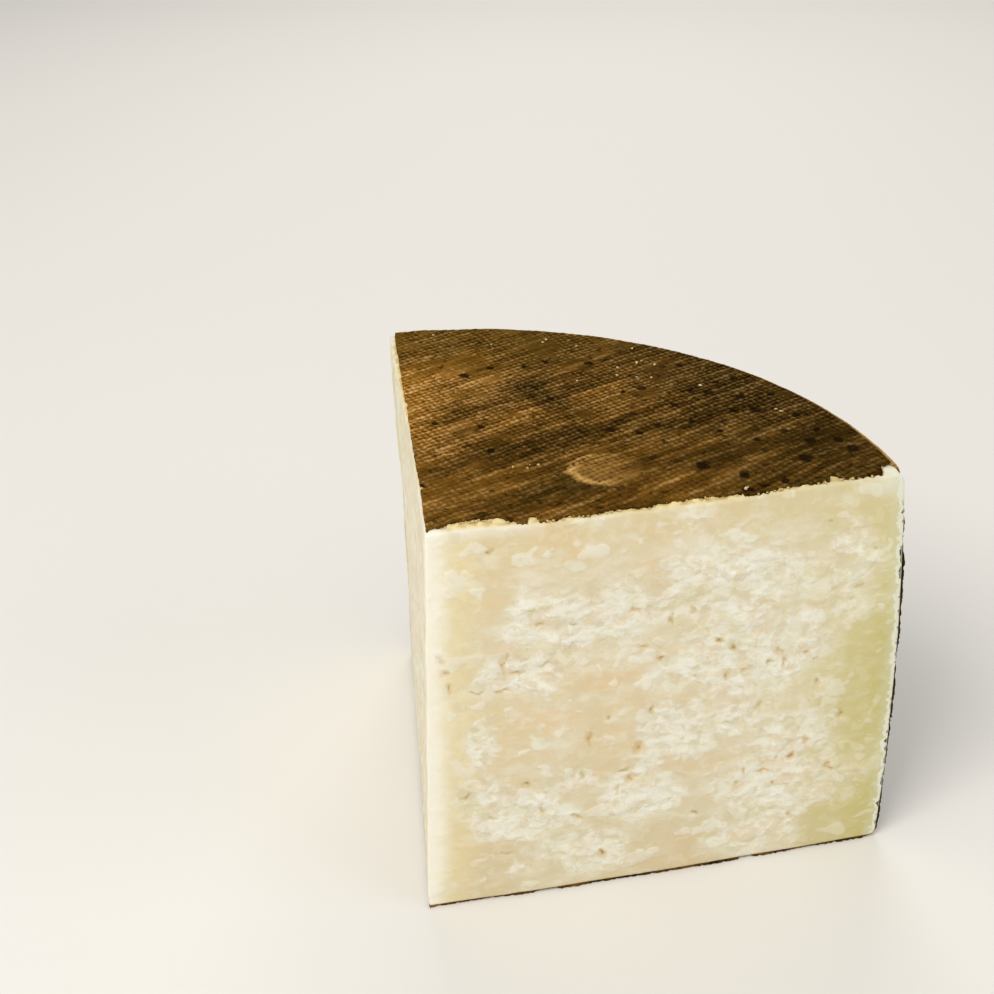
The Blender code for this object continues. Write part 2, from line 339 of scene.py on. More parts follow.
def cut_looks(points):
    """Depth of the cut faces behind the knife's plane, and the masks that go with it."""
    torn = torn_share(points)
    bent = points + 0.0022 * waves(points, 0.0035, (41, 42, 43))
    cap = inside_marks(bent, CAPS, (0.0150, 46, 0.7, 0.0012, 0.0038))
    cap += 0.60 * rough(points, 0.0024, 3, seed=44)
    bent = points + 0.0010 * waves(points, 0.0019, (48, 49, 50))
    crack = inside_marks(bent, CRACKS, (0.0120, 51, 0.6, 0.0005, 0.0015))
    crack += 0.35 * rough(points, 0.0014, 2, seed=45)
    masks = {"torn": torn, "cap": cap, "crack": crack}
    fine = rough(points * np.array([0.6, 1.0, 1.0]), 0.0012, 3, seed=36)
    depth = 0.00020 * torn - 0.00003 * fine * (0.3 + 0.7 * torn)
    for k, (size, held_back, rise, *_) in enumerate(FLAKES):
        seed = 100 + 20 * k
        field = flake_rise(points, torn, size, held_back, seed)
        above = flake_rise(points + np.array([0.0, 0.0, 0.0005]), torn, size, held_back, seed)
        depth -= rise * ramp(field, -0.04, 0.34)
        masks[f"flake_{k}"] = field
        # under_ marks each flake's lower edge, where the paste's material paints shade.
        masks[f"under_{k}"] = ramp(above - field, 0.02, 0.14)
    depth += 0.00030 * wave(points, 0.026, 38)
    depth += 0.00036 * ramp(crack, -0.15, 0.60) - 0.00012 * ramp(cap, -0.30, 0.70)
    return depth, masks


# ---------------------------------------------------------------- meshes

def new_piece(name, mesh):
    piece = bpy.data.objects.new(name, mesh)
    bpy.context.scene.collection.objects.link(piece)
    return piece


def grid_faces(rows, columns, closed):
    """Faces of a grid of rows of columns, whose rows are closed loops or not."""
    starts = np.arange(columns if closed else columns - 1)
    ends = (starts + 1) % columns
    low = np.arange(rows - 1)[:, None] * columns
    high = low + columns
    return np.stack([low + starts, low + ends, high + ends, high + starts], axis=-1).reshape(-1, 4)


def mesh_of(name, points, faces):
    mesh = bpy.data.meshes.new(name)
    mesh.from_pydata(np.asarray(points).tolist(), [], [list(map(int, face)) for face in faces])
    mesh.validate()
    return mesh


def read_all(source, name):
    """The vectors of that name of all vertices or normals, one a row."""
    found = np.empty(len(source) * 3)
    source.foreach_get(name, found)
    return found.reshape(-1, 3)


def points_and_normals(mesh):
    return read_all(mesh.vertices, "co"), read_all(mesh.vertex_normals, "vector")


def set_points(mesh, points):
    mesh.vertices.foreach_set("co", np.asarray(points, dtype=np.float32).ravel())
    mesh.update()


def set_masks(mesh, masks):
    """Stores each mask as a number on every vertex, for the material to read."""
    for name, values in masks.items():
        layer = mesh.attributes.new(name, "FLOAT", "POINT")
        layer.data.foreach_set("value", np.asarray(values, dtype=np.float32))


@contextlib.contextmanager
def reshaped(mesh):
    """The mesh as an editable shape, written back at the end."""
    shape = bmesh.new()
    shape.from_mesh(mesh)
    yield shape
    shape.to_mesh(mesh)
    shape.free()


def face_outward(mesh):
    with reshaped(mesh) as shape:
        bmesh.ops.recalc_face_normals(shape, faces=shape.faces[:])


# ---------------------------------------------------------------- paste

EDGE_ROUND = 0.0009
RING_CENTRE = NOSE + np.array([0.0483, 0.0450])
RING_REACH = 0.045  # from the ring centre to both cuts
LIP_RINGS = [0.0013 + 0.0004 * k for k in range(7)]
TOP_RINGS = LIP_RINGS + [0.0045, 0.0070, 0.0140, 0.0260, 0.0400]
FOOT_RINGS = [0.0030, 0.0120, 0.0260, 0.0400]
LOOP_SAMPLES = 2600
LOOP_WINDOW = 5


def paste_loop(z):
    """Plan outline of the paste at height z, with its corners rounded off."""
    radius = paste_radius(z)
    start, end = front_end(radius), left_end(z, radius)
    nose, _ = left_cut(z)
    arc = on_circle(radius, np.linspace(start, end, 80))
    corners = np.concatenate([[arc[-1]], [nose], arc])
    legs = np.concatenate([[0.0], np.cumsum(np.linalg.norm(np.diff(corners, axis=0), axis=1))])
    places = np.linspace(0.0, legs[-1], LOOP_SAMPLES, endpoint=False)
    loop = np.stack([np.interp(places, legs, corners[:, k]) for k in range(2)], axis=1)
    for _ in range(2):
        shifts = range(-(LOOP_WINDOW // 2), LOOP_WINDOW // 2 + 1)
        loop = sum(np.roll(loop, shift, axis=0) for shift in shifts) / LOOP_WINDOW
    left, front = legs[1], legs[2] - legs[1]
    arc_length = legs[-1] - legs[2]
    stops = np.concatenate([
        np.linspace(0.0, left, int(CUT_LENGTH / LEFT_STEP), endpoint=False),
        left + np.linspace(0.0, front, int(CUT_LENGTH / FRONT_STEP), endpoint=False),
        left + front + np.linspace(0.0, arc_length, int(ARC_LENGTH / ARC_STEP), endpoint=False),
    ])
    places = np.append(places, legs[-1])
    loop = np.concatenate([loop, loop[:1]])
    return np.stack([np.interp(stops, places, loop[:, k]) for k in range(2)], axis=1)


def paste_profile():
    """Rows of the paste from the middle of its foot to the middle of its top: (inset, z)."""
    low, high = RIND, HEIGHT - RIND
    turn = [math.radians(18 * k) for k in range(6)]
    foot = [(EDGE_ROUND * (1 - math.sin(a)), low + EDGE_ROUND * (1 - math.cos(a))) for a in turn]
    top = [(inset, low + high - z) for inset, z in reversed(foot)]
    count = int((high - low - 2 * EDGE_ROUND) / ROW_STEP)
    heights = np.linspace(low + EDGE_ROUND, high - EDGE_ROUND, count + 1)[1:-1]
    sides = [(0.0, z) for z in heights]
    under = [(ring, low) for ring in reversed(FOOT_RINGS)]
    over = [(ring, high) for ring in TOP_RINGS]
    return under + foot + sides + top + over


def lip_lumps(points):
    """Height of the crumbly lip of paste that the broken rind leaves bare."""
    bare = bites(points[:, 0] - NOSE[0], FRONT_BITES) + 0.0008
    bare = ramp(behind_front(points), bare + 0.0005, bare - 0.0003)
    near, name = grains(points, 0.0018, 52)
    domes = 0.00048 * ramp(near, 0.85, 0.20) * (0.35 + 0.65 * name)
    return bare * (domes + 0.00014 * rough(points, 0.0010, 2, seed=53))


def build_paste():
    rows = []
    for inset, z in paste_profile():
        loop = paste_loop(z)
        shrunk = RING_CENTRE + (loop - RING_CENTRE) * (1 - inset / RING_REACH)
        rows.append(np.column_stack([shrunk, np.full(len(loop), z)]))
    columns = len(rows[0])
    points = np.concatenate(rows)
    faces = grid_faces(len(rows), columns, closed=True)[:, ::-1]
    caps = [list(range(columns)), list(range(len(points) - columns, len(points)))[::-1]]
    mesh = mesh_of("cheese_paste", points, list(faces) + caps)
    face_outward(mesh)

    points, normals = points_and_normals(mesh)
    _, along = left_cut(HEIGHT / 2)
    facing_left = normals @ np.array([-along[1], along[0], 0.0])
    on_cut = ramp(np.maximum(-normals[:, 1], facing_left), 0.30, 0.85)
    lip = ramp(normals[:, 2], 0.3, 0.9)
    depth, masks = cut_looks(points)
    depth = on_cut * depth - (1 - on_cut) * lip * lip_lumps(points)
    radius = np.linalg.norm(points[:, :2] - CENTRE, axis=1)
    masks["to_side"] = side_radius(points[:, 2]) - radius
    masks["to_top"] = HEIGHT - points[:, 2]
    masks["from_nose"] = np.linalg.norm(points[:, :2] - nose_at(points[:, 2]), axis=1)
    masks["front"] = ramp(-normals[:, 1], 0.4, 0.9)
    masks["lip"] = (1 - on_cut) * lip
    moved = points - normals * depth[:, None]
    moved[:, 1] -= front_bulge(points)
    moved[:, 0] -= left_bulge(points)
    set_points(mesh, moved)
    set_masks(mesh, masks)
    mesh.shade_smooth()
    return new_piece("cheese_paste", mesh)


# ---------------------------------------------------------------- rind: top and foot

# Bites out of the rind along a cut, in millimetres: distance from the nose, half width, depth.
FRONT_BITES = [
    (3, 2.6, 0.8), (7.5, 3.6, 1.9), (12.5, 4.6, 2.4), (16.8, 1.6, 1), (21.8, 1.1, 1.9),
    (30, 2.2, 0.5), (40, 4, 0.6), (50, 3.6, 1.1), (56.5, 4, 1.2), (63, 3, 0.9), (77, 5, 0.4),
    (86.2, 1, 1.8), (99.2, 2.4, 3.4),
]
FOOT_BITES = [(23, 3, 0.7), (71, 2, 0.9)]
LEFT_BITES = [(18.5, 1, 0.7), (59, 1.6, 0.4)]


def bites(along, places):
    """Depth in metres of the bites at distances in metres along an edge."""
    depth = np.zeros(len(along))
    for middle, half_width, bite in places:
        away = np.abs(1000 * along - middle) / half_width
        depth = np.maximum(depth, bite / 1000 * ramp(away, 1.15, 0.6))
    return depth


def ragged_edge(along, seed):
    """Small teeth of a broken rind edge."""
    line = np.column_stack([along, np.full(len(along), 0.37), np.full(len(along), 0.11)])
    teeth = np.abs(wave(line, 0.0011, seed)) + 0.6 * np.abs(wave(line, 0.0005, seed + 1))
    return 0.00012 + 0.00060 * teeth + 0.00030 * ramp(wave(line, 0.006, seed + 2), -0.2, 0.6)


def edge_gaps(plan, z, rim):
    """Distances of plan points inside the front cut, the left cut and the rim."""
    nose, along = left_cut(z)
    inward = np.array([along[1], -along[0]])
    right = plan[:, 0] - NOSE[0]
    up_left = (plan - nose) @ along
    front_bites = FRONT_BITES if z > 0 else FOOT_BITES
    front = behind_front(plan) - ragged_edge(right, 61) - bites(right, front_bites)
    left = (plan - nose) @ inward - ragged_edge(up_left, 64) * 0.7 - bites(up_left, LEFT_BITES)
    return np.column_stack([front, left, rim - np.linalg.norm(plan - CENTRE, axis=1)]), inward


def snapped_to_edges(plan, z, rim):
    """Plan points moved onto the nearest of the three edges."""
    moved = plan.copy()
    for _ in range(2):
        gaps, inward = edge_gaps(moved, z, rim)
        nearest = np.argmin(np.abs(gaps), axis=1)
        outward = moved - CENTRE
        outward = outward / np.linalg.norm(outward, axis=1)[:, None]
        count = len(moved)
        ways = np.stack([np.tile([0.0, -1.0], (count, 1)), np.tile(-inward, (count, 1)), outward])
        rows = np.arange(count)
        moved = moved + ways[nearest, rows] * gaps[rows, nearest][:, None]
    return moved


def sheet(step, z, rim):
    """Plan grid in line with the print, trimmed to the wedge."""
    cos, sin = math.cos(PRINT_ANGLE), math.sin(PRINT_ANGLE)
    count = int(1.5 * WHEEL_RADIUS / step)
    ticks = (np.arange(-count, count) + 0.5) * step
    along, across = np.meshgrid(ticks, ticks)
    plan = np.column_stack([
        (along * cos - across * sin).ravel(),
        (along * sin + across * cos).ravel(),
    ])
    quads = grid_faces(len(ticks), len(ticks), closed=False)
    middles = plan[quads].mean(axis=1)
    near = np.linalg.norm(middles - CENTRE, axis=1) < rim + step
    quads, middles = quads[near], middles[near]
    gaps, _ = edge_gaps(middles, z, rim)
    quads = quads[gaps.min(axis=1) > 0]
    used, quads = np.unique(quads, return_inverse=True)
    return plan[used], quads.reshape(-1, 4)


def build_flat_rind(name, step, z, up, rim):
    """A printed skin on the top (up is 1) or under the foot (up is -1), closed below."""
    plan, quads = sheet(step, z, rim)
    mesh = mesh_of(name, np.column_stack([plan, np.full(len(plan), z)]), quads)
    with reshaped(mesh) as shape:
        while loose := [v for v in shape.verts if pinched(v)]:
            bmesh.ops.delete(shape, geom=loose, context="VERTS")
        shape.verts.index_update()
        edge = np.array([v.index for v in shape.verts if v.is_boundary])

    points, _ = points_and_normals(mesh)
    points[edge, :2] = snapped_to_edges(points[edge, :2], z, rim)
    relief, masks = rind_looks(points, np.ones(len(points)))
    if up < 0:
        relief = np.minimum(relief, 0.0)
    moved = points.copy()
    moved[:, 1] -= front_bulge(points)
    moved[:, 2] += up * relief
    set_points(mesh, moved)
    set_masks(mesh, masks)

    with reshaped(mesh) as shape:
        rim_edges = [e for e in shape.edges if e.is_boundary]
        for made in bmesh.ops.extrude_edge_only(shape, edges=rim_edges)["geom"]:
            if isinstance(made, bmesh.types.BMVert):
                made.co.z = z - up * (RIND + SINK)
        bottom = [e for e in shape.edges if e.is_boundary]
        bmesh.ops.contextual_create(shape, geom=bottom)
        bmesh.ops.recalc_face_normals(shape, faces=shape.faces[:])
    mesh.shade_smooth()
    mesh.set_sharp_from_angle(angle=SHARP_ANGLE)
    return new_piece(name, mesh)


def pinched(vertex):
    """Whether a vertex is loose, or joins two parts of the sheet by a point only."""
    return not vertex.link_faces or sum(e.is_boundary for e in vertex.link_edges) not in (0, 2)


# ---------------------------------------------------------------- rind: print and marks

# Marks of the top, all in millimetres: right of the nose and behind it, then for dark spots
# the radius.
SPOTS = [
    (20.4, 70.5, 1.3), (47.1, 34.2, 1.4), (61.6, 13.2, 1.9), (83.6, 10.4, 1.8), (50.6, 69.6, 1.1),
    (54.5, 52.1, 0.8), (59.3, 52.9, 1.2), (73.4, 46.6, 1.5), (76.9, 51.7, 1), (79.7, 43, 1.3),
    (80.9, 35.6, 1.6), (1.9, 18.7, 1.1), (19.2, 42.7, 1), (19.2, 30.9, 1), (37.3, 52.9, 1.1),
    (52.6, 30.9, 1), (88.7, 30.5, 1.2), (71.4, 62.7, 1.1), (95, 12.4, 1.4), (76.1, 36.4, 1.1),
    (68.7, 7.7, 1), (76.1, 3.4, 1.2), (71.4, 2.6, 1), (67.5, 2.2, 1.3), (87.1, 17.9, 1.3),
    (93.4, 17.1, 1.2), (40.8, 73.3, 0.9), (35.3, 71.7, 0.9), (69.5, 48.9, 0.9), (81.6, 52.5, 1),
    (83.5, 24, 1.2), (90.5, 22.5, 1), (64, 42.5, 0.9), (57.5, 33.5, 0.9), (70, 27.5, 1),
    (76.5, 21.5, 0.9), (65.5, 33.5, 0.8), (87, 42, 1), (9.5, 47, 0.8), (27, 73, 0.9),
]
# Streaks go on with half length along the print's rows, half width and how much lighter
# (above 0) or darker they are.
STREAKS = [
    (23, 65, 13, 5, 0.5), (29, 46, 8, 6, 0.4), (16, 40, 12, 5, 0.15), (51, 54, 11, 2.2, 0.55),
    (45, 44, 8, 5, 0.1), (60, 25, 18, 5, -0.1), (68, 10, 14, 4, 0.15), (6, 7, 10, 6, -0.4),
    (38, 67, 10, 3, 0.25), (17, 28.5, 22, 3.2, -0.55), (36.5, 52, 4.2, 17, -0.5),
    (42, 33, 16, 5, -0.4), (20, 6, 24, 4, -0.45), (49, 8, 12, 5, 0.2), (78, 44, 9, 8, -0.35),
    (91, 16, 7, 7, -0.45), (18, 76, 14, 6, 0.75), (64, 16, 8, 3, -0.35), (56, 72, 14, 3, -0.2),
    (7, 35, 9, 5, -0.35), (34, 14, 5, 7, -0.35), (35, 63, 8, 5, -0.3), (63, 62, 8, 4, -0.3),
    (64, 35, 9, 4, -0.35),
]
# The pale oval mark of the top: middle, half width and half depth, from the nose.
OVAL = (41.2, 16.8, 7.8, 6.6)


def in_print(x, y):
    """Lengths along and across the rows of the print."""
    cos, sin = math.cos(PRINT_ANGLE), math.sin(PRINT_ANGLE)
    return x * cos + y * sin, y * cos - x * sin


def print_phases(points):
    """Numbers that grow by one for each strand of the mat, along and across the rows."""
    bent = points[:, :2] + 0.00060 * waves(points, 0.017, (71, 72))
    bent = bent + 0.00016 * waves(points, 0.0035, (81, 82))
    along, across = in_print(*bent.T)
    return along / PRINT_PITCH, across / PRINT_PITCH


def plan_marks(points):
    """Spots, lightness and the oval mark of the top. The lightness is partly painted light: lighter
    and warmer on the left, darker on the right.
    """
    x, y, _ = from_nose(points)
    ragged = 0.35 * rough(points, 0.0014, 2, seed=74)
    broad = 0.40 * rough(points, 0.0060, 3, seed=84)
    on_top = ramp(points[:, 2], 0.5 * HEIGHT, 0.9 * HEIGHT)
    spot = np.zeros(len(points))
    for spot_x, spot_y, radius in SPOTS:
        away = np.hypot(x - spot_x, y - spot_y) / radius
        spot = np.maximum(spot, ramp(away + 1.2 * ragged, 1.3, 0.3))
    # Painted light: a warm glow along the left of the top, lighter to the left and darker to the
    # right.
    warm = ramp(x - 0.10 * y + 4 * ragged, 12, -1) * ramp(np.abs(y - 58), 26, 6)
    level = 0.25 * ramp(x, 25, 5) - 0.30 * ramp(x, 50, 85) + 0.35 * warm
    for streak_x, streak_y, half_length, half_width, strength in STREAKS:
        along, across = in_print(x - streak_x, y - streak_y)
        away = np.hypot(along / half_length, across / half_width) + broad
        level += 0.5 * strength * ramp(away, 1.5, 0.3)
    ring = np.hypot((x - OVAL[0]) / OVAL[2], (y - OVAL[1]) / OVAL[3]) + 0.22 * ragged
    oval = ramp(ring, 1.08, 0.96) * ramp(x - OVAL[0], 11, 1)
    oval_rim = np.exp(-(((ring - 0.93) / 0.11) ** 2)) * ramp(x - OVAL[0], 4, -4)
    return {
        "spot": on_top * spot,
        "level": 0.27 + on_top * level,
        "oval": on_top * oval,
        "oval_rim": on_top * oval_rim,
        "far": on_top * ramp(y + 10 * broad, 60, 95),
    }


def rind_looks(points, facing):
    """Outward relief of the rind, and its masks, given how much its faces look up or down."""
    printed = ramp(facing, 0.25, 0.75)
    along, across = print_phases(points)
    marks = plan_marks(points)
    gap = 0.5 - 0.5 * np.cos(2 * math.pi * across)
    hole = 0.5 - 0.5 * np.cos(2 * math.pi * along)
    clear = printed * ramp(rough(points, 0.008, 3, seed=73), 0.95, 0.05)
    clear *= 0.45 + 0.45 * ramp(behind_front(points), 0.016, 0.040)
    relief = -PRINT_DEPTH * clear * (0.6 * gap + 0.4 * hole)
    relief += printed * 0.00005 * rough(points, 0.0016, 2, seed=76)
    relief += printed * 0.00012 * wave(points, 0.010, 77)
    relief += 0.00010 * marks["oval"] - 0.00030 * marks["spot"]

    around = np.arctan2(points[:, 1] - CENTRE[1], points[:, 0] - CENTRE[0]) * WHEEL_RADIUS
    unrolled = np.column_stack([around, points[:, 2], np.zeros(len(points))])
    upper = ramp(points[:, 2], 0.050, 0.085)
    upright = rough(unrolled * np.array([1.0, 0.16, 1.0]), 0.0035, 3, seed=91)
    level = rough(unrolled * np.array([0.12, 1.0, 1.0]), 0.0012, 3, seed=92)
    pore = ramp(rough(unrolled, 0.0024, 2, seed=94), 0.50, 0.85)
    side = 0.00007 * upright * (1 - upper) + 0.00006 * level * upper - 0.00025 * pore
    side += 0.00020 * wave(unrolled, 0.016, 95) + 0.00005 * rough(unrolled, 0.0011, 2, seed=96)
    relief += (1 - printed) * side
    masks = {
        "along": along,
        "across": across,
        "clear": clear,
        "printed": printed,
        "shoulder": ramp(facing, 0.985, 0.92) * ramp(facing, 0.12, 0.45),
        "around": around,
        "pore": pore,
        "height": points[:, 2] / HEIGHT,
        **marks,
    }
    return relief, masks


# ---------------------------------------------------------------- rind: round side

def side_profile():
    """Section of the round side from under the top's rind to the foot's: (radius, z, tuck)."""
    top_z = HEIGHT - TOP_RIM_ROUND
    rim = side_radius(HEIGHT) - RIM_INSET
    tucked = ((0.0012, 0.0004), (0.0003, 0.0004), (0.0001, 0.0001))
    points = [(rim - inset, HEIGHT, tuck) for inset, tuck in tucked]
    centre = side_radius(top_z) - TOP_RIM_ROUND
    points += [
        (centre + TOP_RIM_ROUND * math.sin(a), top_z + TOP_RIM_ROUND * math.cos(a), 0.0)
        for a in np.linspace(0, math.pi / 2, 18)
    ]
    points += [(side_radius(z), z, 0.0) for z in np.linspace(top_z, FOOT_RIM_ROUND, 180)[1:]]
    centre = side_radius(FOOT_RIM_ROUND) - FOOT_RIM_ROUND
    points += [
        (centre + FOOT_RIM_ROUND * math.cos(a), FOOT_RIM_ROUND * (1 - math.sin(a)), 0.0)
        for a in np.linspace(0, math.pi / 2, 12)[1:]
    ]
    rim = side_radius(0.0) - RIM_INSET
    points += [(rim - 0.0002, 0.0, 0.0002), (rim - 0.0012, 0.0, 0.0004)]
    return points


# Bites out of the side rind along the front cut, in millimetres: height, half width, depth.
SIDE_BITES = [
    (99, 7.8, 3.6), (90.5, 3, 0.7), (81, 2, 0.4), (52, 3.5, 0.4),
]


def build_side_rind():
    profile = side_profile()
    columns = int(ARC_LENGTH / SIDE_STEP)
    radii, heights, tucks = np.array(profile).T
    path = np.concatenate([[0.0], np.cumsum(np.hypot(np.diff(heights), np.diff(radii)))])
    front_chip = ragged_edge(path, 81) * 1.7 + bites(heights, SIDE_BITES)
    left_chip = ragged_edge(path, 84) * 0.8
    rows = []
    for radius, z, front, left in zip(radii, heights, front_chip, left_chip):
        ends = front_end(radius, front), left_end(z, radius, left)
        plan = on_circle(radius, np.linspace(*ends, columns))
        rows.append(np.column_stack([plan, np.full(columns, z)]))
    points = np.concatenate(rows)
    mesh = mesh_of("rind_side", points, grid_faces(len(rows), columns, closed=False))
    points, normals = points_and_normals(mesh)
    middle = len(points) // 2 + columns // 2
    if normals[middle, :2] @ (points[middle, :2] - CENTRE) < 0:
        mesh.flip_normals()
        points, normals = points_and_normals(mesh)
    relief, masks = rind_looks(points, np.abs(normals[:, 2]))
    moved = points + normals * (relief - np.repeat(tucks, columns))[:, None]
    moved[:, 2] = np.maximum(moved[:, 2], 0.0)
    set_points(mesh, moved)
    set_masks(mesh, masks)
    close_behind(mesh, len(rows), columns)
    mesh.shade_smooth()
    mesh.set_sharp_from_angle(angle=SHARP_ANGLE)
    return new_piece("rind_side", mesh)


def close_behind(mesh, rows, columns):
    """Closes the open skin by an edge as thick as the rind and a coarser hidden back."""
    shape = bmesh.new()
    shape.from_mesh(mesh)
    shape.verts.ensure_lookup_table()
    front = list(shape.verts)
    layers = [shape.verts.layers.float[name] for name in shape.verts.layers.float.keys()]
    depth = RIND + SINK
    back = {}

    def behind(row, column):
        if (row, column) not in back:
            vertex = front[row * columns + column]
            away = vertex.co.xy - Vector(CENTRE)
            spot = Vector(CENTRE) + away * (1 - depth / away.length)
            height = min(max(vertex.co.z, depth), HEIGHT - depth)
            made = shape.verts.new((spot.x, spot.y, height))
            for layer in layers:
                made[layer] = vertex[layer]
            back[row, column] = made
        return back[row, column]

    last_row, last_column = rows - 1, columns - 1
    around = [(0, c) for c in range(last_column)] + [(r, last_column) for r in range(last_row)]
    around += [(last_row, c) for c in range(last_column, 0, -1)]
    around += [(r, 0) for r in range(last_row, 0, -1)]
    for here, there in zip(around, around[1:] + around[:1]):
        near, far = front[here[0] * columns + here[1]], front[there[0] * columns + there[1]]
        shape.faces.new([near, far, behind(*there), behind(*here)])
    kept_rows = sorted({*range(0, last_row, 12), last_row})
    kept_columns = sorted({*range(0, last_column, 12), last_column})
    for low, high in zip(kept_rows[:-1], kept_rows[1:]):
        for start, end in zip(kept_columns[:-1], kept_columns[1:]):
            first = [(low, c) for c in (range(start, end) if low == 0 else [start])]
            second = [(r, end) for r in (range(low, high) if end == last_column else [low])]
            third = [(high, c) for c in (range(end, start, -1) if high == last_row else [end])]
            fourth = [(r, start) for r in (range(high, low, -1) if start == 0 else [high])]
            shape.faces.new([behind(*place) for place in first + second + third + fourth])
    bmesh.ops.recalc_face_normals(shape, faces=shape.faces[:])
    shape.to_mesh(mesh)
    shape.free()


# ---------------------------------------------------------------- crumbs

# Crumbs that lie on the top: millimetres right of the nose and behind it, radius, paleness.
TOP_CRUMBS = [
    (22.3, 22.2, 0.3, 0), (25.2, 21, 0.34, 0), (27.8, 21.8, 0.26, 0), (26, 22.2, 0.22, 0),
    (43.5, 85.6, 0.34, 0.8), (42.4, 84.3, 0.28, 0.6), (62.8, 74.9, 0.32, 0.8), (56.5, 65, 0.38, 1),
    (61.6, 66.6, 0.38, 1), (63, 67.2, 0.26, 0.9), (65.5, 64.3, 0.36, 1), (55.3, 61.1, 0.34, 1),
    (45.5, 60.5, 0.28, 0.8), (59.6, 58.8, 0.26, 0.7), (62.8, 57.6, 0.28, 0.8),
    (72.6, 50.5, 0.36, 0.9), (86, 33, 0.42, 0.6), (85.2, 34.2, 0.3, 0.5), (67, 1, 0.34, 1),
    (67.5, 1.4, 0.3, 0.8), (29.8, 86.3, 0.26, 0.5), (16.8, 96, 0.34, 0.6), (50, 80, 0.24, 0.5),
]
EDGE_CRUMBS = 150


def crumb(shape, place, size, random, layer, tint):
    """Adds one small angular crumb to the shape."""
    turn = Matrix.Rotation(random.uniform(0, 6.3), 4, Vector(random.normal(size=3)).normalized())
    made = bmesh.ops.create_icosphere(shape, subdivisions=2, radius=1.0)["verts"]
    stretch = Vector(random.uniform(0.6, 1.3, size=3))
    seed = int(random.integers(1, 9999))
    units = np.array([v.co for v in made])
    lumps = 1 + 0.75 * wave(units + seed, 0.9, 5)
    for vertex, lump in zip(made, lumps):
        local = turn @ (Vector([vertex.co[k] * stretch[k] for k in range(3)]) * lump * size)
        vertex.co = Vector((local.x, local.y, 0.65 * local.z)) + Vector(place)
        vertex[layer] = tint


def build_crumbs():
    random = np.random.default_rng(7)
    mesh = bpy.data.meshes.new("crumbs")
    shape = bmesh.new()
    layer = shape.verts.layers.float.new("tint")
    for _ in range(EDGE_CRUMBS):
        x = random.uniform(0.002, 0.098)
        size = random.uniform(0.00014, 0.00034)
        behind = random.uniform(0.0001, 0.0011) + 0.8 * bites(np.array([x]), FRONT_BITES)[0]
        place = np.array([[NOSE[0] + x, NOSE[1] + behind, HEIGHT - 0.6 * RIND]])
        place[:, 1] -= front_bulge(place)
        crumb(shape, place[0], size, random, layer, random.uniform(0.0, 0.5))
    for x, y, size, paleness in TOP_CRUMBS:
        place = (NOSE[0] + x / 1000, NOSE[1] + y / 1000, HEIGHT)
        crumb(shape, place, size / 1000, random, layer, paleness)
    shape.to_mesh(mesh)
    shape.free()
    mesh.shade_smooth()
    return new_piece("crumbs", mesh)


# ---------------------------------------------------------------- materials

def linear(red, green, blue):
    """Colour values of 0 to 255 as shown, in the linear numbers that shaders take."""
    shown = np.array([red, green, blue]) / 255
    values = np.where(shown <= 0.04045, shown / 12.92, ((shown + 0.055) / 1.055) ** 2.4)
    return (*map(float, values), 1.0)


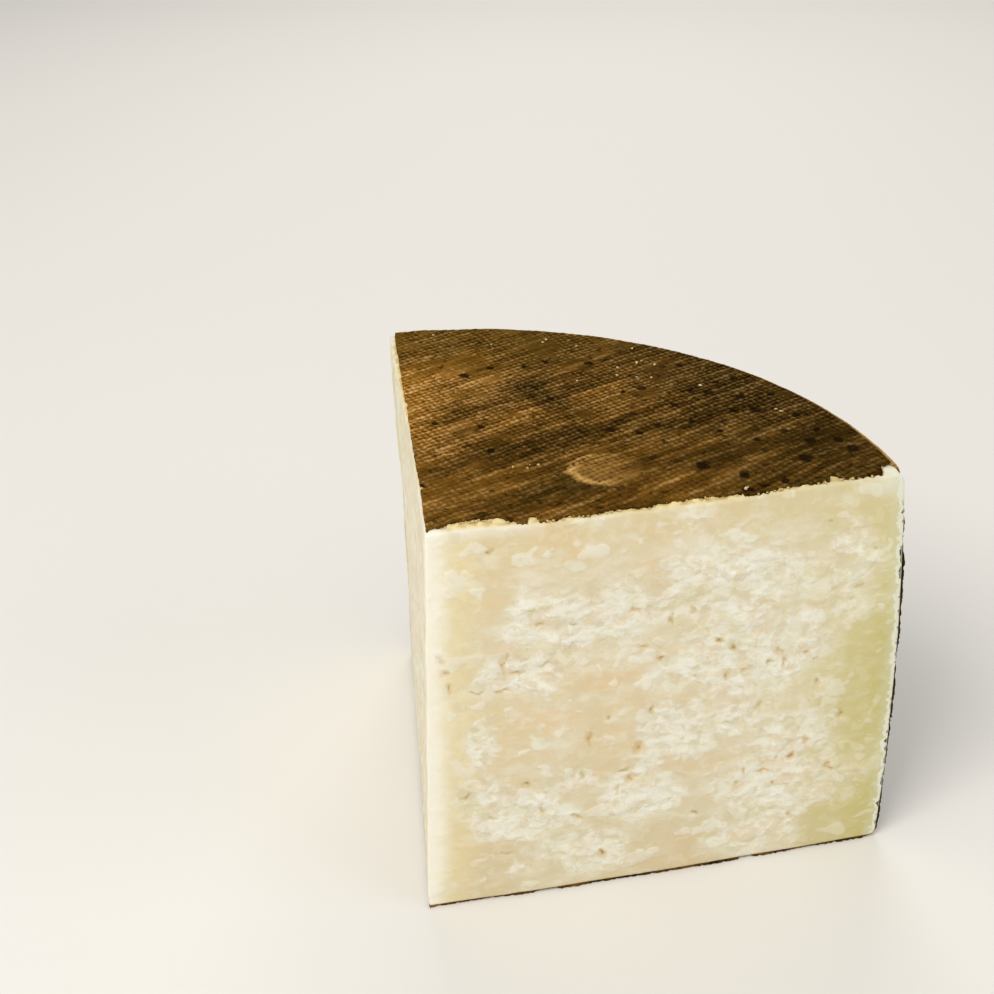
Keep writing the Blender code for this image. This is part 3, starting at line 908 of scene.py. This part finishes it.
class Surface:
    """A Principled material and short ways to add nodes to it.

    Colours are sockets, or values of 0 to 255 as shown.
    """

    def __init__(self, name, roughness, specular=0.5):
        self.material = bpy.data.materials.new(name)
        self.material.use_nodes = True
        self.tree = self.material.node_tree
        self.shader = self.tree.nodes["Principled BSDF"]
        self.shader.inputs["Roughness"].default_value = roughness
        self.shader.inputs["Specular IOR Level"].default_value = specular

    def node(self, kind, inputs=None, **settings):
        made = self.tree.nodes.new(kind)
        for name, value in settings.items():
            setattr(made, name, value)
        for name, value in (inputs or {}).items():
            self.feed(made.inputs[name], value)
        return made

    def feed(self, socket, value):
        if isinstance(value, bpy.types.NodeSocket):
            self.tree.links.new(value, socket)
        else:
            socket.default_value = value

    def mask(self, name):
        return self.node("ShaderNodeAttribute", attribute_name=name).outputs["Fac"]

    def noise(self, scale, detail=3.0, stretch=None, distortion=0.0, roughness=0.5, vector=None):
        vector = vector or self.node("ShaderNodeTexCoord").outputs["Object"]
        if stretch:
            vector = self.node("ShaderNodeMapping", {"Vector": vector, "Scale": stretch}).outputs[0]
        made = self.node("ShaderNodeTexNoise", {
            "Vector": vector, "Scale": scale, "Detail": detail,
            "Distortion": distortion, "Roughness": roughness,
        })
        return made.outputs["Fac"]

    def math(self, operation, first, second=0.0, add=0.0):
        made = self.node("ShaderNodeMath", operation=operation)
        for socket, value in zip(made.inputs, (first, second, add)):
            self.feed(socket, value)
        return made.outputs[0]

    def times(self, *values):
        return functools.reduce(lambda *pair: self.math("MULTIPLY", *pair), values)

    def plus(self, *values):
        return functools.reduce(lambda *pair: self.math("ADD", *pair), values)

    def step(self, value, low, high, to_low=0.0, to_high=1.0):
        made = self.node("ShaderNodeMapRange", {
            "Value": value, "From Min": low, "From Max": high, "To Min": to_low, "To Max": to_high,
        }, interpolation_type="SMOOTHSTEP")
        return made.outputs[0]

    def valley(self, phase):
        """0 on each whole number of the phase, 1 half way between them."""
        turned = self.math("COSINE", self.times(phase, 2 * math.pi))
        return self.math("MULTIPLY_ADD", turned, -0.5, add=0.5)

    def strewn(self, first, second, seed):
        """Noise over two lengths."""
        vector = self.node("ShaderNodeCombineXYZ", {"X": first, "Y": second, "Z": seed}).outputs[0]
        return self.noise(1.0, 3, vector=vector)

    def mix(self, share, first, second):
        made = self.node("ShaderNodeMix", data_type="RGBA")
        self.feed(made.inputs[0], share)
        for socket, colour in zip(made.inputs[6:8], (first, second)):
            self.feed(socket, linear(*colour) if isinstance(colour, tuple) else colour)
        return made.outputs[2]

    def cover(self, colour, *shares):
        """Lays a colour over the one so far, as much as the product of the shares."""
        self.colour = self.mix(self.times(*shares), self.colour, colour)

    def bump(self, height, strength, distance):
        inputs = {"Height": height, "Strength": strength, "Distance": distance}
        return self.node("ShaderNodeBump", inputs).outputs[0]

    def use(self, name, value):
        self.feed(self.shader.inputs[name], value)


def paste_ground(s, slow, veil, lower, near_side, yellow):
    """Broad tones of the paste: cream in the middle, yellow near the rind, paler on the left cut as
    painted light, darker towards the foot as painted shade.
    """
    to_side, to_top, from_left, front = map(s.mask, ("to_side", "to_top", "from_nose", "front"))
    s.colour = s.mix(s.step(slow, 0.38, 0.62), (225, 208, 168), (227, 214, 180))
    inner = s.step(s.plus(to_side, s.times(slow, 0.030)), 0.030, 0.075)
    peach = s.noise(72, 2, stretch=(1.0, 1.0, 1.5))
    s.cover((232, 203, 160), s.step(peach, 0.50, 0.70), inner, 0.60)
    s.cover((221, 214, 174), s.step(inner, 0.9, 0.0), 0.45)
    s.cover((237, 230, 207), s.step(veil, 0.46, 0.66), 0.50)
    drag = s.noise(800, 3, stretch=(0.2, 0.2, 1.0))
    s.cover((238, 229, 202), s.step(drag, 0.50, 0.75), front, 0.30)
    # Painted light: faces that do not face the front, above all the left cut, made paler as if lit
    # more.
    s.cover((250, 240, 210), s.step(front, 1.0, 0.0), 0.50)
    # Painted shade: a darker, browner beige towards the foot of the cuts.
    s.cover((205, 188, 145), s.step(s.plus(to_top, s.times(slow, 0.02)), 0.062, 0.105), 0.42)
    s.cover(yellow, near_side, 0.88)
    edge = s.step(s.plus(to_side, s.times(veil, 0.010)), 0.0140, 0.0060)
    s.cover((190, 182, 112), edge, lower, 0.75)
    s.cover((222, 201, 148), s.step(s.plus(to_top, s.times(veil, 0.010)), 0.0220, 0.0090), 0.35)
    yellow_nose = s.step(s.plus(from_left, s.times(slow, 0.010)), 0.0180, 0.0110)
    s.cover((240, 224, 172), yellow_nose, front, 0.55)
    s.cover((241, 237, 222), s.step(to_top, 0.0040, 0.0015), s.step(from_left, 0.026, 0.019), 0.60)
    cloud = s.step(s.plus(s.mask("torn"), s.times(veil, 0.9)), 0.36, 1.42)
    s.cover((236, 233, 214), cloud, s.step(near_side, 0.0, 1.0, 0.86, 0.50))


def paste_flakes(s, edge_noise, warm):
    """Tones of the caps, flakes, hollows and chips, with painted shade under the flakes and in the
    chips' low parts and a painted highlight on the chips' tops. Returns their height.
    """
    torn = s.mask("torn")
    cap = s.plus(s.mask("cap"), s.times(edge_noise, 1.5))
    s.cover((241, 239, 224), s.step(cap, -0.15, 0.25), 0.55)
    chip = s.noise(330, 3, stretch=(1.0, 1.0, 1.2), distortion=0.6, roughness=0.45)
    amount = s.step(torn, 0.0, 0.7, 0.35, 1.0)
    height = s.plus(s.times(s.noise(1500, 3), 0.30), s.times(s.step(cap, -0.20, 0.60), 0.3))
    height = s.plus(height, s.times(s.step(chip, 0.40, 0.60), amount, 0.5))
    for k, (*_, tone, weight) in enumerate(FLAKES):
        field = s.plus(s.mask(f"flake_{k}"), s.times(edge_noise, 0.25 + 0.2 * k))
        flake = s.step(field, 0.05, 0.14 + 0.02 * k)
        rim = s.times(s.step(field, -0.20, -0.02), s.step(field, 0.16, 0.0))
        s.cover(tone, flake, weight)
        # Painted shade: a grey line along each flake's lower edge.
        s.cover((196, 184, 146), rim, s.mask(f"under_{k}"), s.step(torn, 0.05, 0.45), 0.12)
        height = s.plus(height, s.times(flake, 0.30 - 0.05 * k))
    beige = s.mix(warm, (222, 211, 167), (226, 208, 172))
    for scale, low, weight in ((150, 0.52, 0.50), (330, 0.54, 0.42)):
        hollow = s.noise(scale, 4, stretch=(1.0, 1.0, 1.4), distortion=0.4)
        s.cover(beige, s.step(hollow, low, low + 0.05), s.step(torn, 0.10, 0.45), weight)
    # Painted shade in the low parts of the chips and painted highlight on their raised tops, the
    # same noise that the bump raises.
    s.cover((212, 196, 160), s.step(chip, 0.44, 0.39), amount, 0.40)
    s.cover((247, 243, 230), s.step(chip, 0.56, 0.61), amount, 0.42)
    return height


def paste_edges(s, slow, veil):
    """Tones of the bare lip, the painted highlight along the nose and the ragged strip along the
    side rind.
    """
    to_side, to_top = s.mask("to_side"), s.mask("to_top")
    lip_colour = s.mix(s.step(s.noise(420, 3), 0.40, 0.65), (196, 168, 96), (230, 212, 150))
    s.cover(lip_colour, s.mask("lip"), 0.9)
    s.cover((236, 234, 218), s.step(to_side, 0.0110, 0.0030), s.step(to_top, 0.0080, 0.0020), 0.75)
    # Painted highlight: a pale strip along the nose, the rounded edge between the two cuts.
    nose_highlight = s.plus(s.mask("from_nose"), s.times(slow, 0.004), s.times(veil, 0.006))
    s.cover((252, 247, 230), s.step(nose_highlight, 0.0114, 0.0058), 0.90)
    teeth = s.plus(to_side, s.math("MULTIPLY_ADD", s.noise(620, 3), 0.0040, add=-0.0020))
    s.cover((214, 216, 186), s.step(teeth, 0.0050, 0.0015), 0.45)
    s.cover((236, 236, 218), s.step(teeth, 0.0021, 0.0016), 0.75)
    below_rim = s.step(to_top, 0.006, 0.010)
    s.cover((48, 34, 16), s.step(teeth, 0.0009, 0.0006), s.mask("front"), below_rim, 0.95)


def paste_material():
    s = Surface("cheese_paste", 0.6, specular=0.3)
    slow = s.noise(50, 3)
    veil = s.noise(120, 4, stretch=(1.0, 1.0, 1.9), roughness=0.6)
    edge_noise = s.math("MULTIPLY_ADD", s.noise(1000, 3), 0.40, add=-0.20)
    warm = s.step(s.noise(130, 1), 0.38, 0.52)
    lower = s.step(s.plus(s.mask("to_top"), s.times(slow, 0.02)), 0.030, 0.060)
    near_side = s.plus(s.mask("to_side"), s.times(veil, 0.022), s.times(lower, -0.002))
    near_side = s.step(near_side, 0.0365, 0.0095)
    yellow = s.mix(lower, (213, 202, 144), (204, 192, 124))
    paste_ground(s, slow, veil, lower, near_side, yellow)
    height = paste_flakes(s, edge_noise, warm)
    s.cover(yellow, near_side, s.step(lower, 0.0, 1.0, 0.20, 0.45))
    crack = s.plus(s.mask("crack"), s.times(edge_noise, 1.6))
    # The cracks have a golden tone of their own; their darker middle, where they are deepest, is
    # partly painted shade.
    s.cover(s.mix(warm, (206, 190, 130), (216, 184, 126)), s.step(crack, -0.35, 0.45), 0.60)
    s.cover(s.mix(warm, (152, 128, 62), (172, 110, 40)), s.step(crack, 0.45, 0.95), 0.65)
    paste_edges(s, slow, veil)
    s.use("Base Color", s.colour)
    s.use("Roughness", s.step(s.mask("torn"), 0.0, 1.0, 0.50, 0.72))
    s.use("Subsurface Weight", 0.10)
    s.use("Subsurface Radius", (0.0030, 0.0020, 0.0010))
    s.use("Subsurface Scale", 1.0)
    s.use("Normal", s.bump(height, 0.62, 0.00022))
    return s.material


# Tones of the print's gaps, strands and ridges: where the rind is dark, where it is light, and at
# the far side of the top. The ridge tone is partly the strands' lighter colour and partly painted
# sheen.
PRINT_TONES = [
    ((24, 11, 0), (100, 59, 6), (58, 38, 1)),
    ((60, 41, 6), (156, 108, 36), (92, 68, 15)),
    ((108, 88, 50), (220, 174, 110), (126, 104, 58)),
]


def rind_print(s, grime, tone):
    """Tones of the mat's print and the marks on it, with painted sheen on the strands' crests.
    Returns how high the strands stand.
    """
    along, across, clear = map(s.mask, ("along", "across", "clear"))
    wobble = s.math("MULTIPLY_ADD", s.noise(430, 2), 1.1, add=-0.55)
    gap = s.math("POWER", s.valley(s.plus(across, wobble)), 0.65)
    hole = s.valley(s.plus(along, wobble))
    strand = s.math("SUBTRACT", 0.55, s.plus(s.times(gap, 0.62), s.times(hole, 0.38)))
    strand = s.math("MULTIPLY_ADD", strand, clear, add=0.45)
    row_tone = s.strewn(s.times(along, 0.09), s.times(s.math("ROUND", across), 3.7), 0.5)
    band_tone = s.strewn(s.times(along, 0.15), s.times(across, 0.55), 3.5)
    level = s.plus(s.mask("level"), s.times(band_tone, 0.7), s.times(row_tone, 0.9))
    level = s.step(s.plus(level, s.times(tone, 0.4)), 0.78, 2.32)
    far = s.times(s.mask("far"), 0.6)
    dark, middle, ridge_sheen = (s.mix(far, s.mix(level, *near), behind) for *near, behind in PRINT_TONES)
    mottled = s.plus(s.times(grime, 1.6), s.noise(1700, 2), -1.30)
    mottled = s.times(mottled, s.step(clear, 0.3, 0.9, 0.6, 1.0))
    light = s.plus(s.times(strand, 1.1), row_tone, mottled, -0.07)
    s.colour = s.mix(s.step(light, 0.32, 0.98), dark, middle)
    # Painted sheen: the ridge tone on the strands' crests, partly their own lighter colour.
    s.cover(ridge_sheen, s.step(light, 0.90, 1.58))
    fleck = s.plus(s.noise(330, 3, roughness=0.6), s.times(s.mask("level"), -0.08))
    s.cover((34, 21, 4), s.step(fleck, 0.57, 0.64), 0.75)
    s.cover(s.mix(s.step(light, 0.35, 1.35), (88, 52, 6), (176, 134, 68)), s.mask("oval"), 0.55)
    s.cover((204, 162, 92), s.mask("oval_rim"), s.step(light, 0.55, 1.15), 0.85)
    spot = s.plus(s.mask("spot"), s.math("MULTIPLY_ADD", grime, 0.8, add=-0.4))
    s.cover((24, 13, 4), s.step(spot, 0.10, 0.60), 0.90)
    return strand


def rind_brushed(s, grime):
    """Tones of the round side: brushed upright below, rubbed level above."""
    around, height = s.mask("around"), s.mask("height")
    brush = s.strewn(s.times(around, 1400), s.times(height, 6.5), 5.5)
    rubbed = s.strewn(s.times(around, 75), s.plus(s.times(height, 210), s.times(around, 90)), 7.5)
    blotch = s.strewn(s.times(around, 55), s.times(height, 6), 9.5)
    upper = s.step(height, 0.50, 0.92)
    patchy = s.step(s.plus(blotch, s.times(upper, 0.25)), 0.50, 0.80)
    s.colour = s.mix(s.step(blotch, 0.36, 0.64), (40, 29, 10), (70, 53, 21))
    s.cover((104, 78, 36), s.step(brush, 0.50, 0.75), 0.32)
    s.cover((21, 14, 7), s.step(brush, 0.50, 0.32), 0.35)
    s.cover((122, 90, 46), s.step(grime, 0.50, 0.68), patchy, 0.6)
    s.cover((160, 124, 70), s.step(rubbed, 0.56, 0.70), upper, patchy, 0.5)
    s.cover((140, 98, 48), s.step(height, 0.84, 0.955), patchy, 0.6)
    s.cover((19, 12, 7), s.mask("pore"))


def rind_material():
    s = Surface("rind", 0.85, specular=0.01)
    grime = s.noise(520, 4, roughness=0.65)
    tone = s.noise(60, 3, distortion=0.4)
    strand = rind_print(s, grime, tone)
    printed = s.colour
    rind_brushed(s, grime)
    s.cover(printed, s.step(s.mask("printed"), 0.05, 0.75))
    # Painted highlight: a patchy, lighter ochre along the rind's rounded shoulder.
    shoulder_highlight = s.step(s.plus(tone, s.times(grime, 0.6)), 0.60, 0.88, 0.25, 0.95)
    s.cover(s.mix(grime, (150, 120, 46), (208, 168, 96)), s.mask("shoulder"), shoulder_highlight)
    s.use("Base Color", s.colour)
    s.use("Roughness", s.step(grime, 0.3, 0.7, 0.72, 0.92))
    s.use("Normal", s.bump(s.plus(s.times(strand, 0.5), s.noise(1900, 3)), 0.45, 0.00018))
    return s.material


def crumb_material():
    s = Surface("crumbs", 0.7, specular=0.3)
    s.colour = s.mix(s.mask("tint"), (206, 178, 106), (222, 198, 156))
    s.cover((190, 158, 96), s.step(s.noise(2500, 2), 0.4, 0.7), 0.3)
    s.use("Base Color", s.colour)
    s.use("Normal", s.bump(s.noise(3000, 2), 0.4, 0.0001))
    return s.material


# ---------------------------------------------------------------- stage

def build_floor():
    mesh = bpy.data.meshes.new("floor")
    with reshaped(mesh) as shape:
        bmesh.ops.create_grid(shape, x_segments=1, y_segments=1, size=4.0)
    floor = new_piece("floor", mesh)
    s = Surface("floor", 0.85)
    s.use("Base Color", (0.80, 0.78, 0.74, 1.0))
    mesh.materials.append(s.material)


def add_light(name, place, target, size, power, colour):
    data = bpy.data.lights.new(name, "AREA")
    data.shape = "SQUARE"
    data.size = size
    data.energy = power
    data.color = colour
    light = bpy.data.objects.new(name, data)
    bpy.context.scene.collection.objects.link(light)
    light.location = place
    light.rotation_euler = (Vector(target) - Vector(place)).to_track_quat("-Z", "Y").to_euler()


def build_stage():
    scene = bpy.context.scene
    build_floor()
    add_light("key", (-0.55, -0.50, 0.95), (0, 0, 0.05), 0.55, 8.0, (1.0, 0.98, 0.94))
    add_light("fill", (0.80, -0.60, 0.45), (0, 0, 0.05), 0.80, 2.8, (0.97, 0.98, 1.0))
    add_light("back", (0.20, 0.85, 0.80), (0, 0, 0.08), 0.60, 4.0, (1.0, 0.96, 0.90))
    add_light("left", (-0.90, 0.15, 0.40), (0, 0, 0.05), 0.80, 0.6, (1.0, 0.97, 0.90))
    world = bpy.data.worlds.new("studio")
    world.use_nodes = True
    sky = world.node_tree.nodes["Background"].inputs
    sky["Color"].default_value = (1.0, 1.0, 1.0, 1.0)
    sky["Strength"].default_value = 0.40
    scene.world = world
    scene.view_settings.view_transform = "Standard"

    data = bpy.data.cameras.new("camera")
    data.sensor_width = SENSOR
    data.lens = FOCAL_PIXELS / PHOTO_SIDE * SENSOR
    camera = bpy.data.objects.new("camera", data)
    scene.collection.objects.link(camera)
    camera.matrix_world = (
        Matrix.Translation(CAMERA_PLACE)
        @ Matrix.Rotation(-CAMERA_HEADING, 4, "Z")
        @ Matrix.Rotation(math.pi / 2 - CAMERA_PITCH, 4, "X")
        @ Matrix.Rotation(CAMERA_ROLL, 4, "Z")
    )
    scene.camera = camera


# ---------------------------------------------------------------- all together

def main():
    build_stage()
    paste = build_paste()
    top = build_flat_rind("rind_top", TOP_STEP, HEIGHT, 1, side_radius(HEIGHT) - RIM_INSET)
    foot = build_flat_rind("rind_foot", FOOT_STEP, 0.0, -1, side_radius(0.0) - RIM_INSET)
    side = build_side_rind()
    crumbs = build_crumbs()
    paste.data.materials.append(paste_material())
    rind = rind_material()
    for piece in (top, foot, side):
        piece.data.materials.append(rind)
    crumbs.data.materials.append(crumb_material())
    slots = {paste: "paste", top: "rind", foot: "rind", side: "rind", crumbs: "paste"}
    for piece, slot in slots.items():
        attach(piece, "root")
    for piece in (paste, top, side, foot):
        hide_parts(NODE)


main()
